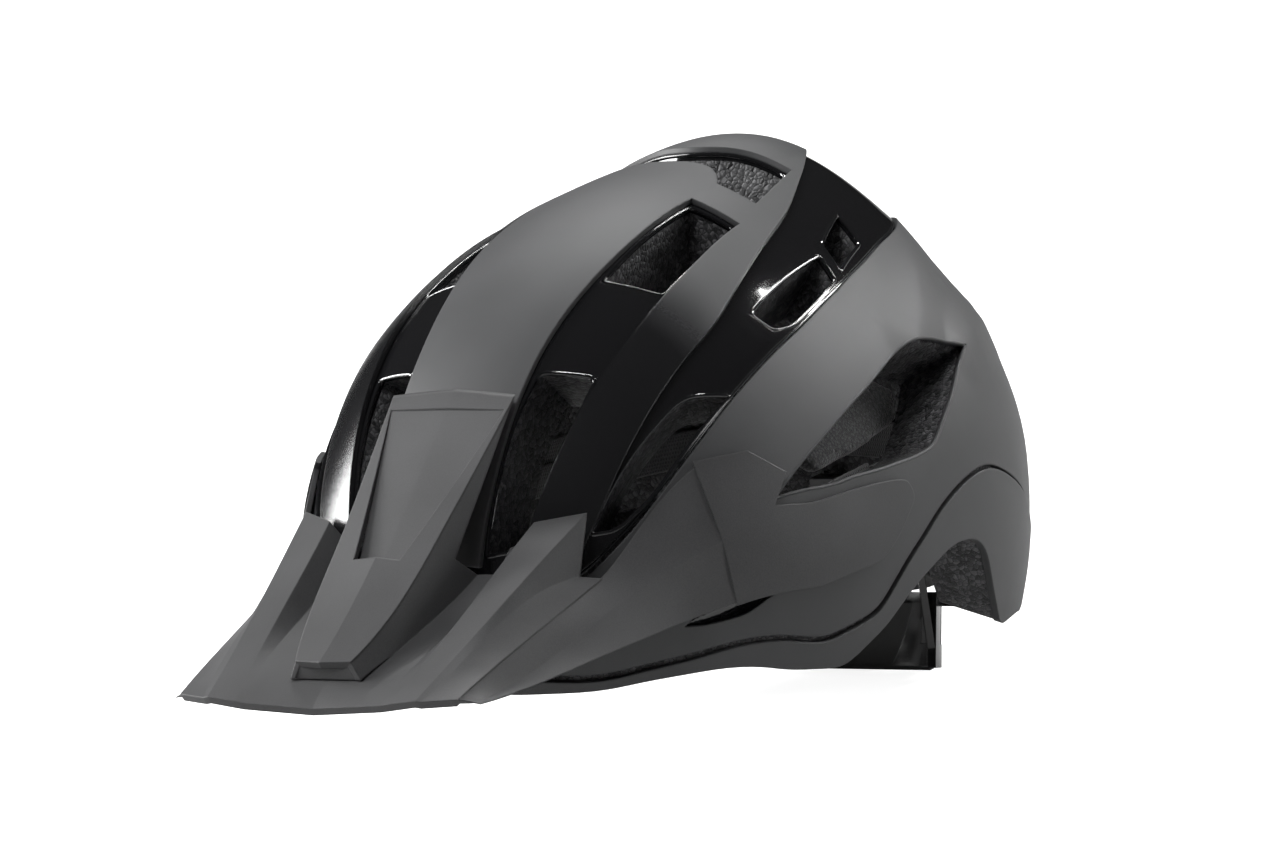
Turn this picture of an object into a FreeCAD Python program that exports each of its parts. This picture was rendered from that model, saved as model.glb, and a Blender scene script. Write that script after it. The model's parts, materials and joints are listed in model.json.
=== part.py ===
import FreeCAD, Part
import math
import os

# Cycling helmet with a tilting visor and a dial-fit cradle.
# Units mm.  +Z up, -Y front, +X the wearer's left.  The plane x = 0 is the symmetry plane.
# Every shell, pad and web lies on one of two star-shaped surfaces about the point HUB:
# the outer shell surface and the head cavity.  A place on them is a bearing (u, v) in degrees:
# u toward the wearer's left and v toward the rear, both measured from straight up.
# Layer heights are millimetres along the ray from HUB.

V = FreeCAD.Vector
HUB = V(0, 19, 45)
ORIGIN = V(0, -25.2, -37.5)          # the exported origin: bottom centre of the whole helmet

# ---- outer shell ----
HALF_WIDTH = 106.0
REACH_FRONT = 154.0
REACH_REAR = 138.0
CROWN_HEIGHT = 118.0
UNDER_STRETCH = 1.2
PLAN_POWER = 2.3
SIDE_POWER = 1.95
BUMP = (16.0, 67.0, 34.0, 45.0)      # height, rearward place, length and width of the rear rise

# ---- head cavity ----
CAV_HALF_WIDTH = 84.0
CAV_FRONT = 124.0
CAV_REAR = 104.0
CAV_HEIGHT = 88.0
CAV_UNDER_STRETCH = 1.8

# ---- layers, height from the outer shell surface ----
FOAM_TOP = -1.8
SHELL_LOW = -1.6
CROWN_TOP = 0.8
CAP_LOW = 0.9
CAP_TOP = 3.0
SIDE_TOP = 0.4
RIM_HIGH = 1.0
VISOR_LOW = 1.3
VISOR_TOP = 3.4
REST_PLANE_Z = -6.0

# ---- joints ----
VISOR_PIVOT = V(0, -12, 58)
SEAM_POINT = V(0, -105.2, 119.5)     # where the visor spine meets the centre ridge
RAMP_DEG = 46.0                      # slope of the ramp under the end of the visor spine
TEMPLE_PIVOT = V(0, -45, 36)
DIAL_AXIS = V(0, 0, -23)

# ---- fit dial and racks ----
TEETH = 12
MODULE = 0.8
RACK_LOW_Y = 116.2
RACK_HIGH_Y = 118.8

SURFACE_ROWS = 27
SAMPLES = 12
FINE = 24
SLIVER = 60.0         # mm3; smaller offcuts are dropped
RAY_NEAR = 60.0
RAY_FAR = 185.0
SHARP = 2.6          # corners rounded less than this many degrees are sharp


def shell_radius(d):
    """Distance from HUB to the outer shell along the unit direction d."""
    reach = REACH_FRONT if d.y < 0 else REACH_REAR
    height = CROWN_HEIGHT if d.z > 0 else CROWN_HEIGHT * UNDER_STRETCH
    plan = abs(d.x / HALF_WIDTH) ** PLAN_POWER + abs(d.y / reach) ** PLAN_POWER
    r = (plan ** (SIDE_POWER / PLAN_POWER) + abs(d.z / height) ** SIDE_POWER) ** (-1 / SIDE_POWER)
    if d.z <= 0:
        return r
    rise, back, length, width = BUMP
    return r + rise * math.exp(-((d.y * r - back) / length) ** 2 - (d.x * r / width) ** 2)


def cavity_radius(d):
    """Distance from HUB to the inner face of the foam along the unit direction d."""
    reach = CAV_FRONT if d.y < 0 else CAV_REAR
    height = CAV_HEIGHT if d.z > 0 else CAV_HEIGHT * CAV_UNDER_STRETCH
    plan = abs(d.x / CAV_HALF_WIDTH) ** PLAN_POWER + abs(d.y / reach) ** PLAN_POWER
    return (plan ** (2 / PLAN_POWER) + abs(d.z / height) ** 2) ** -0.5


def direction(u, v):
    a = math.radians(math.hypot(u, v))
    k = math.sin(a) / a if a > 1e-9 else 1.0
    return V(k * math.radians(u), k * math.radians(v), math.cos(a))


def place(u, v, height, base=shell_radius):
    d = direction(u, v)
    return HUB + d * (base(d) + height)


def bearing(p):
    """The (u, v) of a point in space."""
    d = p - HUB
    a = math.degrees(math.acos(d.z / d.Length))
    flat = math.hypot(d.x, d.y)
    return (a * d.x / flat, a * d.y / flat)


def slab(low, high, box, low_base=shell_radius, high_base=shell_radius, rows=SURFACE_ROWS):
    """Solid layer between two heights over the bearing window box = (u0, u1, v0, v1)."""
    u0, u1, v0, v1 = box
    sheets = []
    for height, base in ((low, low_base), (high, high_base)):
        grid = []
        for i in range(rows):
            u = u0 + (u1 - u0) * i / (rows - 1)
            grid.append([place(u, v0 + (v1 - v0) * j / (rows - 1), height, base) for j in range(rows)])
        surface = Part.BSplineSurface()
        surface.interpolate(grid)
        sheets.append(surface)
    faces = [s.toShape() for s in sheets]
    ends = [(s.uIso(s.bounds()[0]), s.uIso(s.bounds()[1]), s.vIso(s.bounds()[2]), s.vIso(s.bounds()[3]))
            for s in sheets]
    for a, b in zip(ends[0], ends[1]):
        faces.append(Part.makeRuledSurface(a.toShape(), b.toShape()))
    return solid_of(faces)


def solid_of(faces):
    compound = Part.makeCompound(faces)
    compound.sewShape()
    shell = compound if compound.ShapeType == "Shell" else Part.Shell(compound.Faces)
    solid = Part.makeSolid(shell)
    return solid.reversed() if solid.Volume < 0 else solid


def runs_of(corners):
    """Closed outline from (u, v, rounding) corners, as runs of bearings between sharp corners."""
    n = len(corners)
    sharp = [i for i in range(n) if corners[i][2] < SHARP]
    start = sharp[0] if sharp else 0
    runs = []
    run = [] if sharp else [midpoint(corners[-1], corners[0])]
    for k in range(n):
        i = (start + k) % n
        u, v, r = corners[i]
        if r < SHARP:
            if run:
                runs.append(run + [(u, v)])
            run = [(u, v)]
            continue
        run += bend(corners[i - 1], corners[i], corners[(i + 1) % n])
        if not sharp and k == n // 2:
            half = midpoint(corners[i], corners[(i + 1) % n])
            runs.append(run + [half])
            run = [half]
    runs.append(run + [tuple(corners[start][:2]) if sharp else midpoint(corners[-1], corners[0])])
    return runs


def midpoint(a, b):
    return ((a[0] + b[0]) / 2, (a[1] + b[1]) / 2)


def bend(before, corner, after):
    """Start, middle and end of the round at one corner."""
    u, v, r = corner
    ends = []
    for other in (before, after):
        gap = math.hypot(other[0] - u, other[1] - v)
        k = min(r, 0.4 * gap) / gap
        ends.append((u + (other[0] - u) * k, v + (other[1] - v) * k))
    mid = midpoint(ends[0], ends[1])
    return [ends[0], ((mid[0] + u) / 2, (mid[1] + v) / 2), ends[1]]


def walls(outline):
    """Ruled walls along the rays from HUB through a closed outline, and the outline as fine bearings."""
    faces = []
    fine = []
    for run in runs_of(outline):
        pair = []
        for reach in (RAY_NEAR, RAY_FAR):
            curve = Part.BSplineCurve()
            curve.interpolate([HUB + direction(u, v) * reach for u, v in run])
            pair.append(curve.toShape())
        faces.append(Part.makeRuledSurface(pair[0], pair[1]))
        fine += [bearing(p) for p in pair[0].discretize(FINE)][:-1]
    return (Part.Shell(faces) if len(faces) > 1 else faces[0]), fine


def carve(layer, within, openings):
    """The pieces of a layer inside every outline of within and outside every opening."""
    tools = [walls(o) for o in within + openings]
    ins = [fine for _, fine in tools[:len(within)]]
    outs = [fine for _, fine in tools[len(within):]]
    kept = []
    for s in layer.generalFuse([t for t, _ in tools])[0].Solids:
        s = s.reversed() if s.Volume < 0 else s
        where = sample_bearings(s)
        if s.Volume > SLIVER and all(mostly(where, o) for o in ins) and not any(mostly(where, o) for o in outs):
            kept.append(s)
    return kept[0] if len(kept) == 1 else Part.makeCompound(kept)


def mirrored(corners):
    return [(-u, v, r) for u, v, r in reversed(corners)]


def both(outline):
    return [outline, mirrored(outline)]


def whole(half):
    """Closed symmetric outline from its +u half, given from front to rear."""
    left = [(-u, v, r) for u, v, r in reversed(half) if abs(u) > 1e-6]
    return list(half) + left


def scaled(corners, k):
    return [(u * k, v * k, r) for u, v, r in corners]


def inside(point, corners):
    """True when a bearing lies inside a closed outline."""
    u, v = point
    hit = False
    for i in range(len(corners)):
        a = corners[i - 1]
        b = corners[i]
        if (a[1] > v) != (b[1] > v) and u < (b[0] - a[0]) * (v - a[1]) / (b[1] - a[1]) + a[0]:
            hit = not hit
    return hit


def sample_bearings(solid):
    """Bearings that stand for a layer piece: its centre, or points over a face that looks along the rays."""
    if solid.isInside(solid.CenterOfMass, 1e-3, True):
        return [bearing(solid.CenterOfMass)]
    for face in sorted(solid.Faces, key=lambda f: -f.Area):
        lo_u, hi_u, lo_v, hi_v = face.ParameterRange
        found = []
        for i in range(1, SAMPLES):
            for j in range(1, SAMPLES):
                a = lo_u + (hi_u - lo_u) * i / SAMPLES
                b = lo_v + (hi_v - lo_v) * j / SAMPLES
                if face.isPartOfDomain(a, b):
                    found.append((a, b))
        if not found:
            continue
        a, b = found[len(found) // 2]
        ray = (face.valueAt(a, b) - HUB).normalize()
        if abs(face.normalAt(a, b).dot(ray)) > 0.3:
            return [bearing(face.valueAt(a, b)) for a, b in found]
    return [bearing(solid.CenterOfMass)]


def mostly(points, outline):
    return 2 * sum(inside(p, outline) for p in points) > len(points)


def mirror_x(shape):
    return shape.mirror(V(0, 0, 0), V(1, 0, 0))


def pair(shape):
    return Part.makeCompound([shape, mirror_x(shape)])


def box(x0, x1, y0, y1, z0, z1):
    return Part.makeBox(x1 - x0, y1 - y0, z1 - z0, V(x0, y0, z0))


# ---- outlines in bearings: (u, v, rounding) ----
GROOVE = whole([(0, -88, 12), (18, -85, 10), (29.4, -77.6, 6), (36.2, -67.5, 8), (41, -53, 10),
                (43.9, -35, 12), (45.2, -17, 12), (43.4, -1, 12), (39.6, 14.5, 10), (31.3, 34.5, 8),
                (18, 48, 10), (0, 53, 14)])
RIM_LOW_POINTS = [(0, -134, 26), (28, -131, 25.5), (51, -120, 24), (71, -102, 25), (84, -84, 23),
                  (91, -64, 16), (96.6, -43, 10.5), (102, -22, 19), (105, 5, 32), (105.7, 24, 36.5),
                  (104.5, 42, 31.5), (101.5, 50, 10), (97, 60, -5), (87, 95, -10), (66, 126, -10),
                  (40, 143, -9), (22, 149, 0), (0, 151, 2)]
RIM_TOP_POINTS = [(0, -134.6, 33), (28, -131, 31.5), (52, -120, 28), (74, -100, 30), (88, -76, 30.5),
                  (96, -51, 22), (102, -26, 24.5), (105.6, 2, 43), (105.6, 26, 53), (104, 52, 55.5),
                  (100.5, 73, 46), (88, 104, 18), (66, 128, 12), (36, 145, 14), (0, 151, 18)]


def rim_outline(points, rounding=7):
    return whole([bearing(V(*p)) + (rounding,) for p in points])


RIM_LOW = rim_outline(RIM_LOW_POINTS)
RIM_TOP = rim_outline(RIM_TOP_POINTS)


TOP_OUTER = whole([(0, -80, 0), (27, -78, 2), (29.4, -70.4, 4), (31.4, -57, 6), (33.2, -43, 8),
                   (34.5, -31, 8), (31.2, -11.6, 9), (26.1, 7.5, 9), (17.4, 23.5, 9), (9, 35, 8), (0, 38, 8)])
CHANNEL = [(10.4, -83, 0), (17.5, -83, 0), (18.6, -74, 4), (21.5, -58, 6), (24.2, -42, 6),
           (25.3, -25, 6), (24.4, -6.5, 1.5), (14.3, -5.2, 1.5), (13.9, -26, 6), (11.4, -50, 6)]
REAR_VENT = [(13.8, 3.6, 1), (22, 2.6, 1.2), (20.6, 9, 5), (17.3, 20, 2.5), (9, 19.6, 3), (0, 17.4, 4),
             (-9, 19.6, 3), (-17.3, 20, 2.5), (-20.6, 9, 5), (-22, 2.6, 1.2), (-13.8, 3.6, 1),
             (-9, 10.4, 5), (9, 10.4, 5)]
VENT_1A = [(10.9, -79, 1), (18.4, -77, 1.5), (21.2, -60, 6), (21.8, -51.4, 1.5), (12.2, -53.2, 1.5), (11.1, -60, 6)]
VENT_1B = [(13.9, -34.4, 1.5), (24.4, -32.6, 1.5), (24.9, -20, 6), (24, -6.9, 1.5), (14.6, -6, 1.5), (14.2, -24, 6)]
VENT_2A = [(28.4, -72.6, 1.2), (31, -61.5, 6), (35.6, -47.6, 3), (42.6, -41.9, 1.2), (40.6, -51, 6), (37.4, -63.5, 5),
           (33, -70.4, 2)]
VENT_2B = [(37.4, -25, 1.2), (42.2, -24.4, 2), (44.3, -19, 4), (43.6, -8, 5), (41.6, 1.2, 1), (36, 3.2, 1), (36.7, -10, 6)]
SCOOP = [(34.2, 6.6, 1.2), (28.4, 19.6, 1.5), (35.8, 17.6, 2), (40.6, 4.2, 1)]
SIDE_VENT = [(57.2, -51, 1.5), (60.4, -32, 8), (60.6, -11, 8), (56.6, 9, 6), (57.2, 31, 2), (68, 18, 8), (76.6, 2, 5),
             (76.2, -9, 6), (73.4, -22, 6), (66.6, -38, 4)]
SLIT = [(48.6, -77.6, 0.8), (53.3, -75.2, 3), (60.2, -69.9, 3), (65.8, -61.6, 1), (60.2, -63.6, 3),
        (54, -69.6, 3)]
REAR_PORT_IN = [(7, 60, 2.5), (19, 58, 2.5), (17.5, 80, 2.5), (7, 82, 2.5)]
REAR_PORT_OUT = [(27, 57, 2), (39.5, 52, 2), (38, 71, 2), (26, 75, 2)]

CROWN_VENTS = both(VENT_1A) + both(VENT_1B) + both(VENT_2A) + both(VENT_2B) + both(SCOOP) + [REAR_VENT]
SIDE_VENTS = both(SIDE_VENT) + both(REAR_PORT_IN) + both(REAR_PORT_OUT)
FULL_WINDOW = (-119, 119, -108, 122)
CROWN_WINDOW = (-52, 52, -92, 60)


def above_rest_plane(shape, z=REST_PLANE_Z):
    return shape.cut(box(-160, 160, -200, 200, -120, z))


def beside_ramp(over, gap):
    """Block on one side of the ramp plane, which rises rearward through SEAM_POINT."""
    block = box(-31, 31, -60, 40, 0, 40) if over else box(-31, 31, -60, 40, -40, 0)
    block.translate(V(0, 0, gap))
    block.rotate(V(0, 0, 0), V(1, 0, 0), RAMP_DEG)
    block.translate(SEAM_POINT)
    return block


def foam_liner():
    layer = slab(0, FOAM_TOP, FULL_WINDOW, low_base=cavity_radius)
    body = carve(layer, [scaled(RIM_LOW, 0.998)], CROWN_VENTS + SIDE_VENTS)
    pockets = [pair(bush_socket()), hanger_pocket(), anchor_pockets(), temple_pockets()]
    return above_rest_plane(body).cut(Part.makeCompound([beside_ramp(True, -0.3)] + pockets))


def crown_shell():
    layer = slab(SHELL_LOW, CROWN_TOP, CROWN_WINDOW)
    body = carve(layer, [scaled(GROOVE, 0.993)], CROWN_VENTS)
    return body.cut(beside_ramp(True, -0.3))


def top_shell():
    layer = slab(CAP_LOW, CAP_TOP, (-40, 40, -88, 44))
    body = carve(layer, [TOP_OUTER], both(CHANNEL) + [REAR_VENT])
    return body.cut(beside_ramp(True, -0.3))


def side_shell():
    layer = slab(SHELL_LOW, SIDE_TOP, FULL_WINDOW)
    body = carve(layer, [scaled(RIM_TOP, 0.9955)], [scaled(GROOVE, 1.006)] + SIDE_VENTS + both(SLIT))
    return body.cut(pair(bush_socket()))


def rim_shell():
    band = carve(slab(SHELL_LOW, RIM_HIGH, FULL_WINDOW), [RIM_LOW], [scaled(RIM_TOP, 1.0045)])
    return above_rest_plane(band)


# ---- visor ----
BUSH_R = 7.0
BUSH_BORE_R = 4.06
PIN_R = 4.0
BUSH_INNER_X = 98.0
BUSH_OUTER_X = 103.8
PIN_INNER_X = 99.0
PIN_OUTER_X = 106.2
SHEET = 2.4

# Feature lines of the visor's wearer's-left half, front to rear.
KEEL = [(0, -207.6, 43.4), (0, -190, 53), (0, -165, 60.5), (0, -142, 64.5)]
FIN_FOOT = [(27, -207.9, 45), (30, -188, 53.6), (32, -162, 61), (35, -128, 77)]
FIN_INNER = [(30, -207.9, 45.5), (34.5, -182, 57.5), (37.8, -152, 72), (40.8, -128, 83.9)]
FIN_OUTER = [(40.9, -207.6, 46.7), (45.5, -177.6, 59.3), (50.6, -148.5, 72.2), (56.2, -119.5, 84.9)]
VALLEY = [(43, -207.2, 46.3), (48.6, -177.6, 58), (53, -148, 66), (57.5, -131, 66.5)]
WING_EDGE = [(54.8, -203.8, 46.3), (57.6, -175.8, 53.4), (61, -145, 60.4), (63.5, -127, 64.9)]
CREASE = [(58, -201, 44.8), (61.8, -167, 46.5), (66.6, -142.3, 52.9), (69.8, -128, 56.8)]
LOWER_EDGE = [(60.4, -199.9, 43.6), (65.2, -172.7, 42.6), (70.6, -145, 43.4), (74, -128, 43.8)]
SPINE_EDGE = [(11, -198, 56.4), (16.8, -176.5, 68.7), (19.5, -150.5, 86.3), (21.8, -128.9, 102.2), (24.6, -102, 122.6)]
SPINE_CROWN = [(0, -200, 56.6), (0, -177, 70), (0, -151, 88), (0, -129.4, 103.4), (0, -102, 123)]
SPINE_FOOT = [(14, -198, 50.2), (20.5, -170, 57.2), (23, -148, 62), (25, -133, 71), (26, -104.5, 114.5)]
INSERT_REAR = (22.4, -109.5, 116.8)
INSERT_FRONT = (8.8, -160.6, 75.4)
RECESS_GAP = 0.25
ARM = [(41.3, -56, 1), (49.1, -48.3, 1), (56.9, -45.6, 0.5), (57.6, -51.8, 0.5), (64.6, -44.8, 5), (71.4, -32, 6),
       (77.9, -16, 2.7), (81.6, -15.4, 2.7), (84.3, -26, 4), (84.1, -35.5, 4), (74.3, -53.6, 5), (65.6, -62, 5),
       (57.5, -69.5, 1), (50.8, -63, 1)]


def mirror_points(points):
    return [(-x, y, z) for x, y, z in points]


def shifted(points, offset):
    return [(x + offset[0], y + offset[1], z + offset[2]) for x, y, z in points]


def line_through(points):
    if len(points) == 2:
        return Part.makeLine(V(*points[0]), V(*points[1]))
    curve = Part.BSplineCurve()
    curve.interpolate([V(*p) for p in points])
    return curve.toShape()


def plate(tops, bottoms):
    """Solid between two fans of feature lines, ruled from line to line."""
    faces = []
    for fan in (tops, bottoms):
        edges = [line_through(p) for p in fan]
        faces += [Part.makeRuledSurface(a, b) for a, b in zip(edges, edges[1:])]
    for side in (0, -1):
        faces.append(Part.makeRuledSurface(line_through(tops[side]), line_through(bottoms[side])))
    for end in (0, -1):
        for i in range(len(tops) - 1):
            upper = Part.makeLine(V(*tops[i][end]), V(*tops[i + 1][end]))
            lower = Part.makeLine(V(*bottoms[i][end]), V(*bottoms[i + 1][end]))
            faces.append(Part.makeRuledSurface(upper, lower))
    return solid_of(faces)


def symmetric(half):
    return [mirror_points(p) for p in reversed(half[1:])] + half


def visor_front():
    lines = [KEEL, FIN_FOOT, FIN_INNER, FIN_OUTER, VALLEY, WING_EDGE]
    drops = [(0, 0.4, -SHEET), (0, 0.4, -SHEET), (0.8, 0.4, -SHEET), (-0.8, 0.4, -SHEET), (-0.6, 0.4, -SHEET),
             (-1, 0.4, -SHEET)]
    under = [shifted(p, d) for p, d in zip(lines, drops)]
    mirrored_under = [mirror_points(p) for p in reversed(under[1:])]
    return plate(symmetric(lines), mirrored_under + under)


def visor_wing():
    """Folded side of the visor from its front corner back to the arm that lies on the shell."""
    ends = [tuple(place(u, v, VISOR_TOP - 0.2)) for u, v in ((43.4, -54), (53, -60.6), (60, -66.6))]
    lines = [shifted(WING_EDGE, (-0.5, 0, 0.05)) + [(67.7, -107.3, 76.8)], CREASE + [(77.6, -103.5, 62.9)],
             LOWER_EDGE + [(79.8, -104.2, 44.6)]]
    lines = [line + [end] for line, end in zip(lines, ends)]
    inward = [(-1.3, 0.5, -1.6), (-2.1, 0.5, -0.8), (-2.1, 0.5, 0.3)]
    return plate(lines, [shifted(p, d) for p, d in zip(lines, inward)])


def visor_arm():
    return carve(slab(VISOR_LOW, VISOR_TOP, (36, 92, -76, -8)), [ARM], [])


def pivot_pin():
    pin = Part.makeCylinder(PIN_R, PIN_OUTER_X - PIN_INNER_X, VISOR_PIVOT + V(PIN_INNER_X, 0, 0), V(1, 0, 0))
    return pin.makeChamfer(0.6, [e for e in pin.Edges if e.BoundBox.XMax < PIN_INNER_X + 0.1])


def bush_socket():
    return Part.makeCylinder(BUSH_R + 0.1, 14, VISOR_PIVOT + V(BUSH_INNER_X - 0.2, 0, 0), V(1, 0, 0))


def visor_bushes():
    body = Part.makeCylinder(BUSH_R, BUSH_OUTER_X - BUSH_INNER_X, VISOR_PIVOT + V(BUSH_INNER_X, 0, 0), V(1, 0, 0))
    bore = Part.makeCylinder(BUSH_BORE_R, 20, VISOR_PIVOT + V(BUSH_INNER_X - 5, 0, 0), V(1, 0, 0))
    return pair(body.cut(bore))


def recess_prism(grow):
    """Upright prism over the trapezoid recess in the visor spine."""
    rx, ry, _ = INSERT_REAR
    fx, fy, _ = INSERT_FRONT
    corners = [(rx + grow, ry + grow), (fx + grow, fy - grow), (-fx - grow, fy - grow), (-rx - grow, ry + grow)]
    points = [V(x, y, 0) for x, y in corners]
    return Part.Face(Part.makePolygon(points + points[:1])).extrude(V(0, 0, 160))


def visor_spine_solid():
    top = [mirror_points(SPINE_EDGE), SPINE_CROWN, SPINE_EDGE]
    roof = plate(top, [shifted(p, (0, 0.8, -SHEET)) for p in top])
    wall = plate([shifted(SPINE_EDGE, (0, 0.2, -0.6)), SPINE_FOOT],
                 [shifted(SPINE_EDGE, (-2, 0.2, -0.6)), shifted(SPINE_FOOT, (-2, 0, 0))])
    nose = plate([[(-12.6, -197.4, 50.2), (-11, -197.8, 56)], [(12.6, -197.4, 50.2), (11, -197.8, 56)]],
                 [[(-12.6, -195, 50.2), (-11, -195.4, 56)], [(12.6, -195, 50.2), (11, -195.4, 56)]])
    return roof.fuse([wall, mirror_x(wall), nose]).cut(recess_prism(RECESS_GAP))


def visor_peak():
    shell_clearance = slab(-12, VISOR_LOW - 0.3, (34, 95, -96, 0), rows=17)
    side = visor_arm().fuse(visor_wing()).cut(shell_clearance).fuse(pivot_pin())
    body = visor_front().fuse([visor_spine_solid(), side, mirror_x(side)])
    return body.cut(beside_ramp(False, 0.3))


def visor_insert():
    rx, ry, rz = INSERT_REAR
    fx, fy, fz = INSERT_FRONT
    lines = [[(-fx, fy, fz), (-rx, ry, rz)], [(0, fy, fz + 0.3), (0, ry, rz + 0.4)], [(fx, fy, fz), (rx, ry, rz)]]
    return plate(lines, [shifted(p, (0, 0, -1.8)) for p in lines]).common(recess_prism(0))


# ---- comfort pads and webbing on the cavity wall: heights are inward from the foam ----
PAD_TOP = -0.3
PAD_LOW = -6.5
WEB_HALF = 4.0
WEB_TOP = -0.3
WEB_LOW = -1.5
WEB2_TOP = -1.9
WEB2_LOW = -3.1

BROW_PAD = whole([(0, -93, 2.8), (34, -80, 8), (52, -64, 2.8), (46, -57, 2.8), (29, -69, 8), (0, -80.5, 2.8)])
CROWN_PAD = [(16, -66, 2), (21, -65.4, 2), (22, -48, 8), (21.4, -20, 2), (16.6, -20, 2), (16.8, -48, 8)]
REAR_PAD = whole([(0, 24, 2.8), (20, 26, 2.8), (26, 40, 2.8), (10, 46, 2.8), (0, 34, 3)])
SIDE_PAD = [(59, -34, 2.7), (68, -28, 2.7), (72, -6, 6), (68, 20, 2.7), (58, 27, 2.7), (55, 0, 8)]
FRONT_WEB = [(68, -50), (74, -33), (78, -15), (79, -4.5)]
REAR_WEB = [(79, 4.5), (77.5, 20), (73, 36), (66, 50)]
CHIN_WEB_LEFT = [(84.9, 4.4), (84.5, 12), (81, 30), (71, 53), (51, 72), (26, 84.5), (0, 88), (-26, 84.5), (-51, 72),
                 (-71, 53), (-81, 30), (-85, 10)]
CHIN_WEB_RIGHT = [(-88, -4), (-88, -10), (-87.6, -17), (-87, -24)]


def web(path, half, top, low):
    """Flat webbing that follows the cavity wall along a line of bearings."""
    sides = [[], []]
    for i, (u, v) in enumerate(path):
        before = path[max(i - 1, 0)]
        after = path[min(i + 1, len(path) - 1)]
        du, dv = after[0] - before[0], after[1] - before[1]
        k = half / math.hypot(du, dv)
        sides[0].append((u + dv * k, v - du * k))
        sides[1].append((u - dv * k, v + du * k))
    fans = []
    for height in (top, low):
        fans.append([[tuple(place(u, v, height, cavity_radius)) for u, v in side] for side in sides])
    return plate(fans[0], fans[1])


def lining(outline, top, low, window, rows=17):
    return carve(slab(low, top, window, cavity_radius, cavity_radius, rows), [outline], [])


def brow_pad():
    return lining(BROW_PAD, PAD_TOP, PAD_LOW, (-60, 60, -100, -50), 25)


def crown_pads():
    return pair(lining(CROWN_PAD, PAD_TOP, PAD_LOW + 1, (10, 28, -80, -14)))


def rear_pad():
    return lining(REAR_PAD, PAD_TOP, PAD_LOW, (-32, 32, 18, 52))


def side_pads():
    return pair(lining(SIDE_PAD, PAD_TOP, PAD_LOW, (50, 80, -40, 33)))


def strap_front_left():
    return web(FRONT_WEB, WEB_HALF, WEB_TOP, WEB_LOW)


def strap_rear_left():
    return web(REAR_WEB, WEB_HALF, WEB_TOP, WEB_LOW)


def chin_strap_left():
    return web(CHIN_WEB_LEFT, WEB_HALF, WEB2_TOP, WEB2_LOW)


def chin_strap_right():
    return web(CHIN_WEB_RIGHT, 2.8, WEB_TOP, WEB_LOW)


def strap_slider_left():
    """Ladder buckle that gathers the front and rear webs below the ear."""
    outer = [(76.2, -3.6, 1), (86.6, -3, 1), (86.6, 3, 1), (76.2, 3.6, 1)]
    bar = [(81, -1.4, 0.5), (83, -1.4, 0.5), (83, 1.4, 0.5), (81, 1.4, 0.5)]
    return carve(slab(-3.4, -0.3, (70, 92, -8, 8), cavity_radius, cavity_radius, 9), [outer], [bar])


def mirrored_part(build):
    return lambda: mirror_x(build())


# ---- buckle, stowed against the wearer's right wall ----
BUCKLE_X = -70.5
BUCKLE_Z = 56.0


def buckle_socket():
    body = box(BUCKLE_X - 4.5, BUCKLE_X + 4.5, -32, -2, BUCKLE_Z - 12, BUCKLE_Z + 12)
    mouth = box(BUCKLE_X - 2.2, BUCKLE_X + 2.2, -26, 0, BUCKLE_Z - 9.2, BUCKLE_Z + 9.2)
    slots = box(BUCKLE_X - 6, BUCKLE_X + 6, -24, -14, BUCKLE_Z - 14, BUCKLE_Z - 8.4)
    slots = slots.fuse(box(BUCKLE_X - 6, BUCKLE_X + 6, -24, -14, BUCKLE_Z + 8.4, BUCKLE_Z + 14))
    web_slot = box(BUCKLE_X - 6, BUCKLE_X + 6, -30.5, -28, BUCKLE_Z - 8, BUCKLE_Z + 8)
    return rounded_ends(body, 2.5).cut(mouth).cut(slots).cut(web_slot)


def rounded_ends(body, r):
    edges = [e for e in body.Edges if abs(e.Vertexes[0].Z - e.Vertexes[-1].Z) < 1e-6
             and abs(e.Vertexes[0].Y - e.Vertexes[-1].Y) < 1e-6]
    return body.makeFillet(r, edges)


def buckle_tongue():
    head = box(BUCKLE_X - 4, BUCKLE_X + 4, -1.5, 11, BUCKLE_Z - 11.5, BUCKLE_Z + 11.5)
    head = head.cut(box(BUCKLE_X - 6, BUCKLE_X + 6, 5, 8, BUCKLE_Z - 8, BUCKLE_Z + 8))
    prongs = [box(BUCKLE_X - 1.8, BUCKLE_X + 1.8, -23, 0, BUCKLE_Z + z0, BUCKLE_Z + z0 + 2.6) for z0 in (-8.6, 6, -1.3)]
    return head.fuse(prongs)


# ---- fit band, cradle and dial ----
BAND_A = 79.4
BAND_B = 92.0
BAND_FRONT_B = 118.0
BAND_THICK = 1.2
BAND_START = -35.0
BAND_END = 66.0
BAND_FALL = 0.4                # drop of the head band for each mm rearward of HUB
ARC_POINTS = 36
BAND_LOW_Z = 30.0
BAND_TOP_Z = 42.0
TEMPLE_PIN_R = 2.2
TEMPLE_PIN_X = 64.2
CRADLE_A = 72.0
CRADLE_B = 98.0
CRADLE_TOP_Z = -8.6
CRADLE_LOW_Z = -35.0
WING_PIVOT = V(0, 117, -22)
WING_DEG = 16.0                # upward sweep of the cradle's side wings
PINION_PITCH_R = TEETH * MODULE / 2
HOUSING_Y0 = 113.0
HOUSING_Y1 = 122.0
HOUSING_LOW_Z = -35.2
HOUSING_TOP_Z = -10.8


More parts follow.
